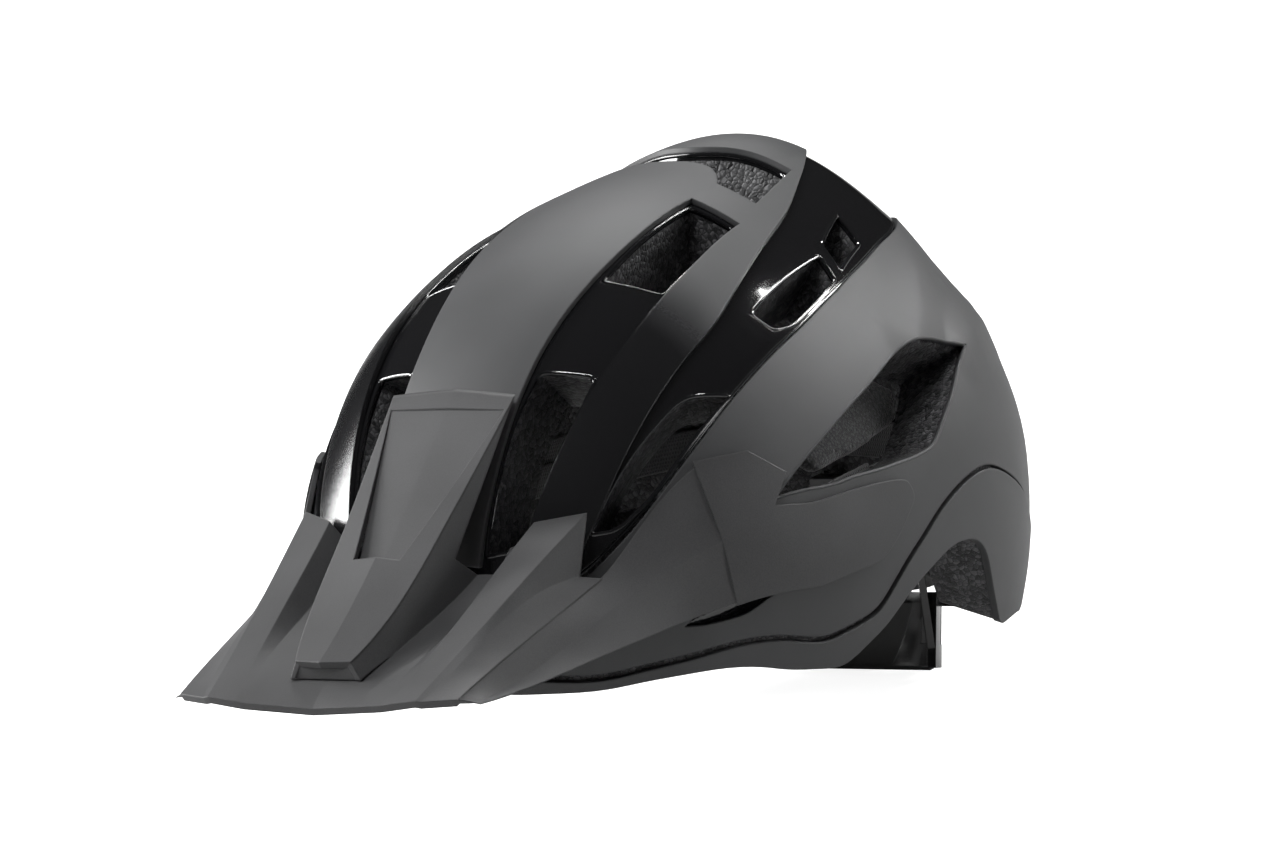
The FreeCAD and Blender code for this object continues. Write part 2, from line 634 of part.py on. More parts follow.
def arc_band(a, b, thick, start, end, z0, z1):
    """Upright band round HUB on half an ellipse, angles in degrees from the wearer's left."""
    edges = []
    for grow in (0, thick):
        points = []
        for k in range(ARC_POINTS + 1):
            t = math.radians(start + (end - start) * k / ARC_POINTS)
            points.append(V((a + grow) * math.cos(t), HUB.y + (b + grow) * math.sin(t), z0))
        curve = Part.BSplineCurve()
        curve.interpolate(points)
        edges.append((curve.toShape(), points[0], points[-1]))
    inner, outer = edges
    ends = [Part.makeLine(inner[2], outer[2]), Part.makeLine(outer[1], inner[1])]
    wire = Part.Wire([inner[0], ends[0], outer[0].reversed(), ends[1]])
    return Part.Face(wire).extrude(V(0, 0, z1 - z0))


def radial_box(angle, reach0, reach1, width, z0, z1):
    """Box standing across the cradle band at an angle from the wearer's left."""
    block = box(reach0, reach1, -width / 2, width / 2, z0, z1)
    block.rotate(V(0, 0, 0), V(0, 0, 1), angle)
    block.translate(V(HUB.x, HUB.y, 0))
    return block


def nape_cradle():
    """Curved frame below the rear of the head, with side wings that sweep up toward the temples."""
    band = arc_band(CRADLE_A, CRADLE_B, 3, 26, 154, CRADLE_LOW_Z, CRADLE_TOP_Z)
    for angle, width in ((46, 16), (62, 12), (118, 12), (134, 16)):
        band = band.cut(radial_box(angle, 60, 120, width, CRADLE_LOW_Z + 8, CRADLE_TOP_Z - 5))
    nubs = [radial_box(angle, 84, 90, 5, CRADLE_TOP_Z - 5, CRADLE_TOP_Z - 0.5) for angle in (45, 135)]
    band = band.fuse(nubs)
    band.rotate(WING_PIVOT, V(1, 0, 0), -WING_DEG)
    band = band.cut(box(-45, 45, HOUSING_Y0 - 0.1, 140, -60, 10))
    arms = [radial_box(angle, 77.9, 80.4, 9, -12, BAND_TOP_Z - 6) for angle in (34, 146)]
    tab = box(-9, 9, 109.5, 111, -12, 8).fuse(box(-9, 9, 109.5, HOUSING_Y0 - 0.1, -14, -10))
    plate_z = (CRADLE_LOW_Z, -10)
    return band.fuse(arms).fuse(box(-35, 35, 110, HOUSING_Y0 - 0.1, *plate_z)).fuse(tab)


def fit_band():
    """The two halves of the flexible head band, from the temples toward the dial."""
    fans = []
    for z in (BAND_TOP_Z, BAND_LOW_Z):
        fans.append([])
        for grow in (0, BAND_THICK):
            line = []
            for k in range(ARC_POINTS + 1):
                t = math.radians(BAND_START + (BAND_END - BAND_START) * k / ARC_POINTS)
                length = BAND_FRONT_B if t < 0 else BAND_B
                y = (length + grow) * math.sin(t)
                line.append(((BAND_A + grow) * math.cos(t), HUB.y + y, z - BAND_FALL * max(y, 0)))
            fans[-1].append(line)
    hole = Part.makeCylinder(TEMPLE_PIN_R + 0.06, 30, TEMPLE_PIVOT + V(55, 0, 0), V(1, 0, 0))
    return pair(plate(fans[0], fans[1]).cut(hole))


def dial_housing():
    """Box that guides the two racks past the pinion."""
    body = rounded_box(box(-31, 31, HOUSING_Y0, HOUSING_Y1, HOUSING_LOW_Z, HOUSING_TOP_Z), 5)
    body = body.cut(box(-29, 29, HOUSING_Y0 + 2.2, HOUSING_Y1 - 2.2, HOUSING_LOW_Z + 1.8, HOUSING_TOP_Z - 1.8))
    for side in (1, -1):
        zc = DIAL_AXIS.z + side * RACK_BACK_MID
        mouth = box(0, 40, RACK_LOW_Y - 0.3, RACK_HIGH_Y + 0.3, zc - 2.5, zc + 2.5)
        body = body.cut(mirror_x(mouth) if side > 0 else mouth)
    bore = Part.makeCylinder(3.1, 12, V(0, HOUSING_Y1 - 3, DIAL_AXIS.z), V(0, 1, 0))
    return body.cut(bore)


def rounded_box(body, r):
    edges = [e for e in body.Edges if abs(e.Vertexes[0].X - e.Vertexes[-1].X) < 1e-6
             and abs(e.Vertexes[0].Z - e.Vertexes[-1].Z) < 1e-6]
    return body.makeFillet(r, edges)


RACK_BACK_MID = PINION_PITCH_R + 2.9   # middle of a rack's back above the dial axis
RACK_BACK = 1.9                        # half-height of a rack's back
TOOTH_RISE = 0.55
TOOTH_DROP = 1.0
BACKLASH = 0.14
PRESSURE = math.tan(math.radians(20))


def rack_right():
    """Rack above the pinion; it leads to the right half of the head band."""
    pitch = math.pi * MODULE
    z_pitch = DIAL_AXIS.z + PINION_PITCH_R
    root = z_pitch + TOOTH_DROP
    tip = z_pitch - TOOTH_RISE
    teeth = []
    half_root = pitch / 4 - BACKLASH + PRESSURE * TOOTH_DROP
    half_tip = pitch / 4 - BACKLASH - PRESSURE * TOOTH_RISE
    for k in range(-4, 4):
        x = (k + 0.5) * pitch
        outline = [V(x - half_root, RACK_LOW_Y, root + 0.2), V(x - half_root, RACK_LOW_Y, root),
                   V(x - half_tip, RACK_LOW_Y, tip), V(x + half_tip, RACK_LOW_Y, tip),
                   V(x + half_root, RACK_LOW_Y, root), V(x + half_root, RACK_LOW_Y, root + 0.2)]
        teeth.append(Part.Face(Part.makePolygon(outline + outline[:1])).extrude(V(0, RACK_HIGH_Y - RACK_LOW_Y, 0)))
    zc = DIAL_AXIS.z + RACK_BACK_MID
    back = box(-30.5, 12, RACK_LOW_Y, RACK_HIGH_Y, root, zc + RACK_BACK)
    return back.fuse(teeth)


def rack_left():
    body = rack_right()
    body.rotate(V(0, 0, DIAL_AXIS.z), V(0, 1, 0), 180)
    return body


def involute_gear(teeth, module, thin, length, bore_r):
    """Spur gear about +Z from z = 0."""
    rp = teeth * module / 2
    rb = rp * math.cos(math.radians(20))
    ra = rp + TOOTH_RISE
    rf = rp - TOOTH_DROP
    phi = math.tan(math.acos(rb / rp)) - math.acos(rb / rp)
    half = math.pi / (2 * teeth) - thin / rp
    points = []
    for k in range(teeth):
        middle = 2 * math.pi * k / teeth
        flank = []
        for j in range(5):
            r = max(rb, rf) + (ra - max(rb, rf)) * j / 4
            t = math.sqrt(max((r / rb) ** 2 - 1, 0))
            flank.append((r, half + phi - (t - math.atan(t))))
        foot = (rf, flank[0][1] + 0.02)
        for r, a in [foot] + flank:
            points.append(V(r * math.cos(middle - a), r * math.sin(middle - a), 0))
        for r, a in reversed([foot] + flank):
            points.append(V(r * math.cos(middle + a), r * math.sin(middle + a), 0))
    gear = Part.Face(Part.makePolygon(points + points[:1])).extrude(V(0, 0, length))
    return gear.cut(Part.makeCylinder(bore_r, length + 2, V(0, 0, -1)))


def dial_pinion():
    gear = involute_gear(TEETH, MODULE, BACKLASH, RACK_HIGH_Y - RACK_LOW_Y, 1.9)
    neck = Part.makeCylinder(3.0, HOUSING_Y1 - RACK_HIGH_Y + 0.6, V(0, 0, RACK_HIGH_Y - RACK_LOW_Y))
    neck = neck.cut(Part.makeCylinder(1.9, 12, V(0, 0, 0)))
    body = gear.fuse(neck)
    body.rotate(V(0, 0, 0), V(1, 0, 0), -90)
    body.rotate(V(0, 0, 0), V(0, 1, 0), 90)
    body.translate(V(0, RACK_LOW_Y, DIAL_AXIS.z))
    return body


KNOB_R = 14.5
KNOB_Y0 = HOUSING_Y1 + 0.7
KNOB_Y1 = HOUSING_Y1 + 8.5


def dial_knob():
    knob = Part.makeCylinder(KNOB_R - 2.2, KNOB_Y1 - KNOB_Y0, V(0, KNOB_Y0, DIAL_AXIS.z), V(0, 1, 0))
    knob = knob.fuse(Part.makeCylinder(KNOB_R, 1.4, V(0, KNOB_Y0, DIAL_AXIS.z), V(0, 1, 0)))
    knob = knob.cut(Part.makeCylinder(5.2, 6, V(0, KNOB_Y1 - 2.6, DIAL_AXIS.z), V(0, 1, 0)))
    return knob.cut(Part.makeCylinder(1.9, 12, V(0, KNOB_Y0 - 1, DIAL_AXIS.z), V(0, 1, 0)))


def dial_grip():
    """Ribbed rubber ring round the knob."""
    ring = Part.makeCylinder(KNOB_R, KNOB_Y1 - KNOB_Y0 - 2.2, V(0, KNOB_Y0 + 1.6, DIAL_AXIS.z), V(0, 1, 0))
    ring = ring.cut(Part.makeCylinder(KNOB_R - 2.1, 12, V(0, KNOB_Y0, DIAL_AXIS.z), V(0, 1, 0)))
    for k in range(18):
        a = math.radians(20 * k)
        rib = V((KNOB_R + 0.5) * math.cos(a), KNOB_Y0 + 1.5, DIAL_AXIS.z + (KNOB_R + 0.5) * math.sin(a))
        ring = ring.cut(Part.makeCylinder(1.1, 8, rib, V(0, 1, 0)))
    return ring


def dial_screw():
    shank = Part.makeCylinder(1.8, KNOB_Y1 - 1.8 - RACK_LOW_Y - 0.2, V(0, RACK_LOW_Y + 0.2, DIAL_AXIS.z), V(0, 1, 0))
    head = Part.makeCylinder(4.2, 1.8, V(0, KNOB_Y1 - 2.55, DIAL_AXIS.z), V(0, 1, 0))
    cross = box(-2.4, 2.4, KNOB_Y1 - 1.6, KNOB_Y1, DIAL_AXIS.z - 0.45, DIAL_AXIS.z + 0.45)
    cross = cross.fuse(box(-0.45, 0.45, KNOB_Y1 - 1.6, KNOB_Y1, DIAL_AXIS.z - 2.4, DIAL_AXIS.z + 2.4))
    return head.cut(cross).fuse(shank)


def cradle_hanger():
    """Strap from the rear foam down to the cradle's guide tab, with height holes."""
    strap = box(-6, 6, 112.0, 113.2, -5, 35)
    for z in (0, 8, 16):
        strap = strap.cut(Part.makeCylinder(2, 6, V(0, 110, z), V(0, 1, 0)))
    plug = box(-6, 6, 112.0, 119.5, 29, 35)
    return strap.fuse(plug)


def hanger_pocket():
    return box(-6.15, 6.15, 111, 125, 28.85, 35.15)


def temple_pivots():
    """Snap pins that carry the front ends of the head band on the foam."""
    pin = Part.makeCylinder(TEMPLE_PIN_R, 15, TEMPLE_PIVOT + V(TEMPLE_PIN_X, 0, 0), V(1, 0, 0))
    head = Part.makeCylinder(4.2, 1.2, TEMPLE_PIVOT + V(TEMPLE_PIN_X - 1.2, 0, 0), V(1, 0, 0))
    return pair(pin.fuse(head))


def temple_pockets():
    return pair(Part.makeCylinder(TEMPLE_PIN_R + 0.1, 20, TEMPLE_PIVOT + V(TEMPLE_PIN_X, 0, 0), V(1, 0, 0)))



def strap_anchors():
    """Discs that hold the four web ends in the foam."""
    discs = []
    for u, v in ((68.5, -50), (65.5, 50)):
        discs.append(anchor_disc(u, v))
    return pair(Part.makeCompound(discs))


def anchor_disc(u, v):
    d = direction(u, v)
    return Part.makeCylinder(4.0, 2.6, place(u, v, 0.4, cavity_radius), d)


def anchor_pockets():
    holes = []
    for u, v in ((68.5, -50), (65.5, 50)):
        holes.append(Part.makeCylinder(4.2, 4, place(u, v, -0.8, cavity_radius), direction(u, v)))
    return pair(Part.makeCompound(holes))


PARTS = [
    ("eps_liner", foam_liner), ("crown_shell", crown_shell), ("top_shell", top_shell), ("side_shell", side_shell),
    ("rim_shell", rim_shell), ("visor_peak", visor_peak), ("visor_insert", visor_insert), ("visor_bushes", visor_bushes),
    ("brow_pad", brow_pad), ("crown_pads", crown_pads), ("rear_pad", rear_pad), ("side_pads", side_pads),
    ("strap_front_left", strap_front_left), ("strap_front_right", mirrored_part(strap_front_left)),
    ("strap_rear_left", strap_rear_left), ("strap_rear_right", mirrored_part(strap_rear_left)),
    ("strap_slider_left", strap_slider_left), ("strap_slider_right", mirrored_part(strap_slider_left)),
    ("strap_anchors", strap_anchors),
    ("chin_strap_left", chin_strap_left), ("chin_strap_right", chin_strap_right),
    ("buckle_socket", buckle_socket), ("buckle_tongue", buckle_tongue),
    ("nape_cradle", nape_cradle), ("fit_band", fit_band), ("temple_pivots", temple_pivots), ("cradle_hanger", cradle_hanger),
    ("dial_housing", dial_housing), ("rack_left", rack_left), ("rack_right", rack_right), ("dial_pinion", dial_pinion),
    ("dial_knob", dial_knob), ("dial_grip", dial_grip), ("dial_screw", dial_screw),
]


def main():
    os.makedirs("parts", exist_ok=True)
    for name, build in PARTS:
        shape = build()
        shape.translate(-ORIGIN)
        shape.exportStep("parts/%s.step" % name)
        print(name, len(shape.Solids), shape.isValid(), round(shape.Volume), flush=True)


main()
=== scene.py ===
import json
import math

import bmesh
import bpy
from mathutils import Matrix, Vector

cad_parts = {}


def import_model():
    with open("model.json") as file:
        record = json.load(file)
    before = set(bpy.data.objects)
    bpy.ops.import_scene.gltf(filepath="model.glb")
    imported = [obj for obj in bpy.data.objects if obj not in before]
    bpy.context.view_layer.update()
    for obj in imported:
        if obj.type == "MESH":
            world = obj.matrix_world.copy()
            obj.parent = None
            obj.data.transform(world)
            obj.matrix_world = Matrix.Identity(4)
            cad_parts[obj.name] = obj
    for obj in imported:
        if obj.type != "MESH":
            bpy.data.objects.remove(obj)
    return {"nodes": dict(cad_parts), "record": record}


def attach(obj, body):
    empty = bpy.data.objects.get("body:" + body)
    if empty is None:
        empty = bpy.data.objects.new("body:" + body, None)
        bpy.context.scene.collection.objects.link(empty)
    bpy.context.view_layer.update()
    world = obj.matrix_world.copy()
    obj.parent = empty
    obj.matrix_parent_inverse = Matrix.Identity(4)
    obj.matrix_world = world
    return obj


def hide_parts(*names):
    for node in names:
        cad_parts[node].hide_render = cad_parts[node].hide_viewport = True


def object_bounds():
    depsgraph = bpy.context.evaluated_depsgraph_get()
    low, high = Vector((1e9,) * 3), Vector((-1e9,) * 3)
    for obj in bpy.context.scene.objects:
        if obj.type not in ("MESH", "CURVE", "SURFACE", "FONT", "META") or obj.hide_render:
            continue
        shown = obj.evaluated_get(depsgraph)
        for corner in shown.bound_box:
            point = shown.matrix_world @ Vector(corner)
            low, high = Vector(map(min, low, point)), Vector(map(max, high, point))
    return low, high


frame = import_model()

cad_low, cad_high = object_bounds()
NODES = frame["nodes"]
MM = 0.001
# Bearings (u, v) are degrees from straight up about HUB: +u to the wearer's left, +v to the rear.
RIB_START = 14.5            # bearing where the ribs begin beside the centre ridge
SHIFT = Vector((0.0, 0.0252, 0.0375))     # from the middle of the head opening to the frame's origin
HUB = Vector((0.0, 0.019, 0.045)) + SHIFT

# ---- the two star-shaped surfaces about HUB that every shell and pad follows ----
# half width, reach to the front and rear, height, share of the height below, powers in plan and from the side
SHELL = (0.106, 0.154, 0.138, 0.118, 1.2, 2.3, 1.95)
CAVITY = (0.084, 0.124, 0.104, 0.088, 1.8, 2.3, 2.0)
CREST_HEIGHT = 0.016        # the swelling of the shell over the rear arch
CREST_Y = 0.067
CREST_LENGTH = 0.034
CREST_WIDTH = 0.045


def radius(d, form):
    """Distance from HUB to the surface along the unit vector d."""
    half, front, rear, height, under, plan_power, side_power = form
    reach = front if d.y < 0 else rear
    up = height if d.z > 0 else height * under
    plan = abs(d.x / half) ** plan_power + abs(d.y / reach) ** plan_power
    r = (plan ** (side_power / plan_power) + abs(d.z / up) ** side_power) ** (-1 / side_power)
    if form is CAVITY or d.z <= 0:
        return r
    return r + CREST_HEIGHT * math.exp(-((d.y * r - CREST_Y) / CREST_LENGTH) ** 2 - (d.x * r / CREST_WIDTH) ** 2)


def direction(u, v):
    """Unit vector toward a bearing."""
    a = math.radians(math.hypot(u, v))
    k = math.sin(a) / a if a > 1e-9 else 1.0
    return Vector((k * math.radians(u), k * math.radians(v), math.cos(a)))


def place(u, v, height, form=SHELL):
    """The point at a bearing, height metres above the surface."""
    d = direction(u, v)
    return HUB + d * (radius(d, form) + height)


def bearing(p):
    """The bearing of a point."""
    d = p - HUB
    a = math.degrees(math.acos(max(-1, min(1, d.z / d.length))))
    flat = max(math.hypot(d.x, d.y), 1e-9)
    return a * d.x / flat, a * d.y / flat


# ---- materials ----
BROAD_CLOUDS = 28.0         # noise scales are cycles per metre
GLOSS_START = HUB.y - 0.05  # the ribs turn from matte to gloss between these two
GLOSS_FULL = HUB.y - 0.082
GLOSS_BLACK = (0.006, 0.006, 0.0065)
BEAD_CELLS = 560.0


class Paint:
    """A material built from nodes, in metres of the object's own frame."""

    def __init__(self, name, colour, roughness, uv=False):
        self.mat = bpy.data.materials.new(name)
        self.mat.use_nodes = True
        self.tree = self.mat.node_tree
        self.shader = self.tree.nodes["Principled BSDF"]
        self.shader.inputs["Base Color"].default_value = (*colour, 1)
        self.shader.inputs["Roughness"].default_value = roughness
        self.where = self.node("ShaderNodeTexCoord").outputs["UV" if uv else "Object"]
        self.normal = None

    def node(self, kind, **inputs):
        made = self.tree.nodes.new(kind)
        for key, value in inputs.items():
            made.inputs[key.replace("_", " ")].default_value = value
        return made

    def link(self, a, b):
        self.tree.links.new(a, b)

    def noise(self, scale, detail=2.0, rough=0.5):
        made = self.node("ShaderNodeTexNoise", Scale=scale, Detail=detail, Roughness=rough)
        self.link(self.where, made.inputs["Vector"])
        return made.outputs["Fac"]

    def cells(self, scale, feature="F1"):
        made = self.node("ShaderNodeTexVoronoi", Scale=scale)
        made.feature = feature
        self.link(self.where, made.inputs["Vector"])
        return made

    def spread(self, value, low, high, start=0.0, end=1.0):
        made = self.node("ShaderNodeMapRange")
        for k, x in zip(("From Min", "From Max", "To Min", "To Max"), (start, end, low, high)):
            made.inputs[k].default_value = x
        self.link(value, made.inputs["Value"])
        return made.outputs["Result"]

    def mix(self, fac, a, b):
        made = self.node("ShaderNodeMix")
        made.data_type = "RGBA"
        for slot, c in ((made.inputs[6], a), (made.inputs[7], b)):
            if isinstance(c, tuple):
                slot.default_value = (*c, 1)
            else:
                self.link(c, slot)
        self.link(fac, made.inputs[0])
        return made.outputs[2]

    def math(self, kind, a, b):
        made = self.node("ShaderNodeMath")
        made.operation = kind
        for i, x in enumerate((a, b)):
            if isinstance(x, (int, float)):
                made.inputs[i].default_value = x
            else:
                self.link(x, made.inputs[i])
        return made.outputs[0]

    def colour(self, socket):
        self.link(socket, self.shader.inputs["Base Color"])

    def rough(self, socket):
        self.link(socket, self.shader.inputs["Roughness"])

    def round_edges(self, size):
        made = self.node("ShaderNodeBevel", Radius=size)
        made.samples = 4
        self.normal = made.outputs["Normal"]

    def bump(self, height, strength, distance):
        made = self.node("ShaderNodeBump", Strength=strength, Distance=distance)
        self.link(height, made.inputs["Height"])
        if self.normal:
            self.link(self.normal, made.inputs["Normal"])
        self.normal = made.outputs["Normal"]

    def done(self, **inputs):
        for key, value in inputs.items():
            self.shader.inputs[key.replace("_", " ")].default_value = value
        if self.normal:
            self.link(self.normal, self.shader.inputs["Normal"])
        return self.mat


def matte_skin(name, low, high, grain, edge, gloss_front=False):
    """Fine-grained matte skin; with gloss_front it turns to gloss black toward the front."""
    p = Paint(name, low, 0.5)
    fine = p.noise(grain, 3.0, 0.6)
    broad = p.noise(BROAD_CLOUDS, 2.0)
    cloud = p.math("ADD", p.math("MULTIPLY", fine, 0.55), p.math("MULTIPLY", broad, 0.45))
    tone = p.mix(p.spread(cloud, 0, 1, 0.35, 0.65), low, high)
    rough = p.spread(fine, 0.42, 0.62)
    if gloss_front:
        split = p.node("ShaderNodeSeparateXYZ")
        p.link(p.where, split.inputs[0])
        front = p.spread(split.outputs["Y"], 1, 0, GLOSS_FULL, GLOSS_START)
        tone = p.mix(front, tone, GLOSS_BLACK)
        rough = p.math("SUBTRACT", rough, p.math("MULTIPLY", front, 0.36))
    p.colour(tone)
    p.rough(rough)
    p.round_edges(edge)
    p.bump(fine, 0.35, 0.00012)
    return p.done(Specular_IOR_Level=0.45)


def gloss_skin(name, colour, edge):
    """Lacquered skin with a faint ripple and specks of dust."""
    p = Paint(name, colour, 0.1)
    peel = p.noise(160.0, 2.0)
    dust = p.noise(900.0, 4.0, 0.7)
    p.rough(p.math("ADD", p.spread(peel, 0.05, 0.12), p.spread(dust, 0.0, 0.08, 0.62, 0.8)))
    p.round_edges(edge)
    p.bump(peel, 0.12, 0.0003)
    return p.done(Coat_Weight=0.6, Coat_Roughness=0.04)


def bead_foam(name):
    """Moulded foam: dark beads of uneven tone, with painted glints as bright specks and sunk seams painted near
    black as painted shade.
    """
    p = Paint(name, (0.02, 0.02, 0.02), 0.6)
    bead = p.cells(BEAD_CELLS)
    rim = p.cells(BEAD_CELLS, "DISTANCE_TO_EDGE")
    speck = p.noise(2600.0, 3.0, 0.7)
    share = p.spread(bead.outputs["Color"], 0, 1, 0.2, 0.8)
    tone = p.mix(share, (0.014, 0.014, 0.015), (0.085, 0.085, 0.088))
    # bright grey specks painted into the colour: painted highlights standing in for light glinting on the beads
    painted_glint = p.spread(speck, 0, 1, 0.6, 0.72)
    tone = p.mix(painted_glint, tone, (0.24, 0.24, 0.245))
    # the sunk seams between beads are painted near black: painted shade in the crevices
    painted_seam_shade = p.spread(rim.outputs["Distance"], 1, 0, 0.0, 0.07)
    p.colour(p.mix(painted_seam_shade, tone, (0.004, 0.004, 0.004)))
    p.bump(p.spread(rim.outputs["Distance"], 0, 1, 0.0, 0.3), 0.7, 0.0004)
    p.bump(speck, 0.5, 0.0002)
    return p.done(Specular_IOR_Level=0.5)


def nylon(name, low, high, rough, edge):
    """Moulded plastic with a fine grain."""
    p = Paint(name, low, rough)
    grain = p.noise(1500.0, 3.0)
    p.colour(p.mix(p.spread(p.noise(60.0), 0, 1, 0.35, 0.65), low, high))
    p.rough(p.spread(grain, rough - 0.07, rough + 0.1))
    p.round_edges(edge)
    p.bump(grain, 0.2, 0.00008)
    return p.done()


def knit(name):
    """Knitted pad cover with loops, nap and a grid of small holes."""
    p = Paint(name, (0.06, 0.06, 0.062), 0.85)
    loops = p.cells(900.0)
    nap = p.noise(3500.0, 3.0, 0.7)
    holes = p.cells(190.0)
    dark = p.spread(loops.outputs["Distance"], 0, 1, 0.15, 0.6)
    tone = p.mix(dark, (0.085, 0.086, 0.09), (0.018, 0.018, 0.019))
    p.colour(p.mix(p.spread(holes.outputs["Distance"], 1, 0, 0.06, 0.12), tone, (0.006, 0.006, 0.006)))
    p.bump(p.spread(holes.outputs["Distance"], 0, 1, 0.05, 0.2), 0.6, 0.0005)
    p.bump(p.math("SUBTRACT", nap, loops.outputs["Distance"]), 0.7, 0.0003)
    return p.done(Sheen_Weight=0.5, Sheen_Roughness=0.4)


def webbing(name):
    """Diagonal weave that follows the strap's own UV map."""
    p = Paint(name, (0.02, 0.02, 0.02), 0.7, uv=True)
    waves = []
    for turn in (45.0, -45.0):
        spin = p.node("ShaderNodeMapping")
        spin.inputs["Rotation"].default_value = (0, 0, math.radians(turn))
        p.link(p.where, spin.inputs["Vector"])
        wave = p.node("ShaderNodeTexWave", Scale=420.0, Distortion=0.6)
        p.link(spin.outputs["Vector"], wave.inputs["Vector"])
        waves.append(wave.outputs["Fac"])
    weave = p.math("MAXIMUM", waves[0], waves[1])
    p.colour(p.mix(weave, (0.006, 0.006, 0.006), (0.045, 0.045, 0.047)))
    p.bump(weave, 0.8, 0.0003)
    p.bump(p.noise(3000.0, 2.0), 0.3, 0.0001)
    return p.done(Sheen_Weight=0.3)


def steel(name):
    """Brushed screw head."""
    p = Paint(name, (0.5, 0.5, 0.51), 0.3)
    p.rough(p.spread(p.noise(2500.0, 3.0), 0.22, 0.42))
    p.round_edges(0.0002)
    p.bump(p.noise(1800.0), 0.2, 0.00005)
    return p.done(Metallic=1.0)


SHELL_GRAIN = 3200.0
VISOR_GRAIN = 2200.0
SKIN_EDGE = 0.0009          # radius of the rounded edge, in metres

PAINTS = {
    "eps": bead_foam("foam_beads"),
    "gloss_shell": gloss_skin("gloss_skin", (0.004, 0.004, 0.0045), 0.0008),
    "matte_shell": matte_skin("matte_skin", (0.027, 0.0275, 0.0285), (0.038, 0.0385, 0.04),
                              SHELL_GRAIN, SKIN_EDGE),
    "rib": matte_skin("rib_skin", (0.031, 0.0315, 0.0325), (0.043, 0.0435, 0.045),
                      SHELL_GRAIN, SKIN_EDGE, gloss_front=True),
    "visor_matte": matte_skin("visor_grain", (0.023, 0.023, 0.0237), (0.041, 0.041, 0.0425),
                              VISOR_GRAIN, 0.0007),
    "nylon": nylon("nylon_satin", (0.012, 0.012, 0.012), (0.02, 0.02, 0.021), 0.35, 0.0005),
    "pad": knit("pad_knit"),
    "webbing": webbing("webbing_weave"),
    "gloss_frame": nylon("frame_gloss", (0.006, 0.006, 0.006), (0.01, 0.01, 0.01), 0.15, 0.0006),
    "grip": nylon("grip_rubber", (0.014, 0.014, 0.014), (0.024, 0.024, 0.024), 0.7, 0.0005),
    "screw": steel("screw_steel"),
}


FACET_ANGLE = 9             # degrees between faces that stay a sharp fold on the visor
EDGE_ANGLE = 28             # and on every other piece


def finish_node(name, slot):
    """Paint a CAD piece and shade it smooth between its edges."""
    obj = NODES[name]
    obj.data.materials.clear()
    obj.data.materials.append(PAINTS[slot])
    obj.data.shade_smooth()
    obj.data.set_sharp_from_angle(angle=math.radians(FACET_ANGLE if slot == "visor_matte" else EDGE_ANGLE))


for row in frame["record"]["subparts"]:
    finish_node(row["node"], row["material_slot"])

NODES["top_shell"].data.materials.append(PAINTS["rib"])
for face in NODES["top_shell"].data.polygons:
    if abs(bearing(face.center)[0]) > RIB_START:
        face.material_index = 1

# ---- soft goods ----
PINNED_DEPTH = 0.0017       # pad cloth nearer the foam than this stays put
CLOTH_FRAMES = 20
PATH_STEPS = 14           # points of a strap between two bearings of its path
UV_SCALE = 0.0003
# one turn round the strap's edge: share of the half width, share of the thickness
WEB_SECTION = [(-1, 0.5), (-0.96, 0.12), (-0.88, 0), (-0.5, 0.1), (0, 0.04), (0.5, 0.1), (0.88, 0), (0.96, 0.12),
               (1, 0.5), (0.96, 0.88), (0.88, 1), (0.5, 0.9), (0, 0.96), (-0.5, 0.9), (-0.88, 1), (-0.96, 0.88)]


def add_object(name, mesh, slot, body="helmet", *nodes):
    """An object on a body, in place of the CAD nodes given."""
    obj = bpy.data.objects.new(name, mesh)
    bpy.context.scene.collection.objects.link(obj)
    mesh.materials.clear()
    mesh.materials.append(PAINTS[slot])
    mesh.shade_smooth()
    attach(obj, body)
    if nodes:
        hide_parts(*nodes)
    return obj


def baked(obj):
    """The object's mesh with its modifiers applied; the object keeps no modifier."""
    dg = bpy.context.evaluated_depsgraph_get()
    mesh = bpy.data.meshes.new_from_object(obj.evaluated_get(dg))
    obj.modifiers.clear()
    obj.data = mesh
    return mesh


def plump_pad(name, node, slot, voxel=0.0022, pressure=3.0, cap=0.0016):
    """A knit pad that swells toward the head by cloth simulation and stays flat on the foam."""
    obj = bpy.data.objects.new(name, NODES[node].data.copy())
    bpy.context.scene.collection.objects.link(obj)
    obj.data.materials.clear()
    remesh = obj.modifiers.new("remesh", "REMESH")
    remesh.mode = "VOXEL"
    remesh.voxel_size = voxel
    smooth = obj.modifiers.new("smooth", "SMOOTH")
    smooth.iterations = 3
    mesh = baked(obj)
    rest = [v.co.copy() for v in mesh.vertices]
    depth = [radius((p - HUB).normalized(), CAVITY) - (p - HUB).length for p in rest]
    pin = obj.vertex_groups.new(name="pin")
    pin.add([i for i, h in enumerate(depth) if h < PINNED_DEPTH], 1.0, "REPLACE")
    cloth = obj.modifiers.new("cloth", "CLOTH")
    cloth.settings.use_pressure = True
    cloth.settings.uniform_pressure_force = pressure
    cloth.settings.effector_weights.gravity = 0
    cloth.settings.vertex_group_mass = "pin"
    cloth.settings.quality = 5
    for frame_number in range(1, CLOTH_FRAMES + 1):
        bpy.context.scene.frame_set(frame_number)
    mesh = baked(obj)
    bpy.context.scene.frame_set(1)
    for v, start in zip(mesh.vertices, rest):
        move = v.co - start
        if move.length > cap:
            move *= cap / move.length
        out = (start - HUB).normalized()
        move -= out * max(0, move.dot(out))
        v.co = start + move
    bpy.data.objects.remove(obj)
    made = add_object(name, mesh, slot, "helmet", node)
    sub = made.modifiers.new("subdivision", "SUBSURF")
    sub.levels = sub.render_levels = 1
    return made


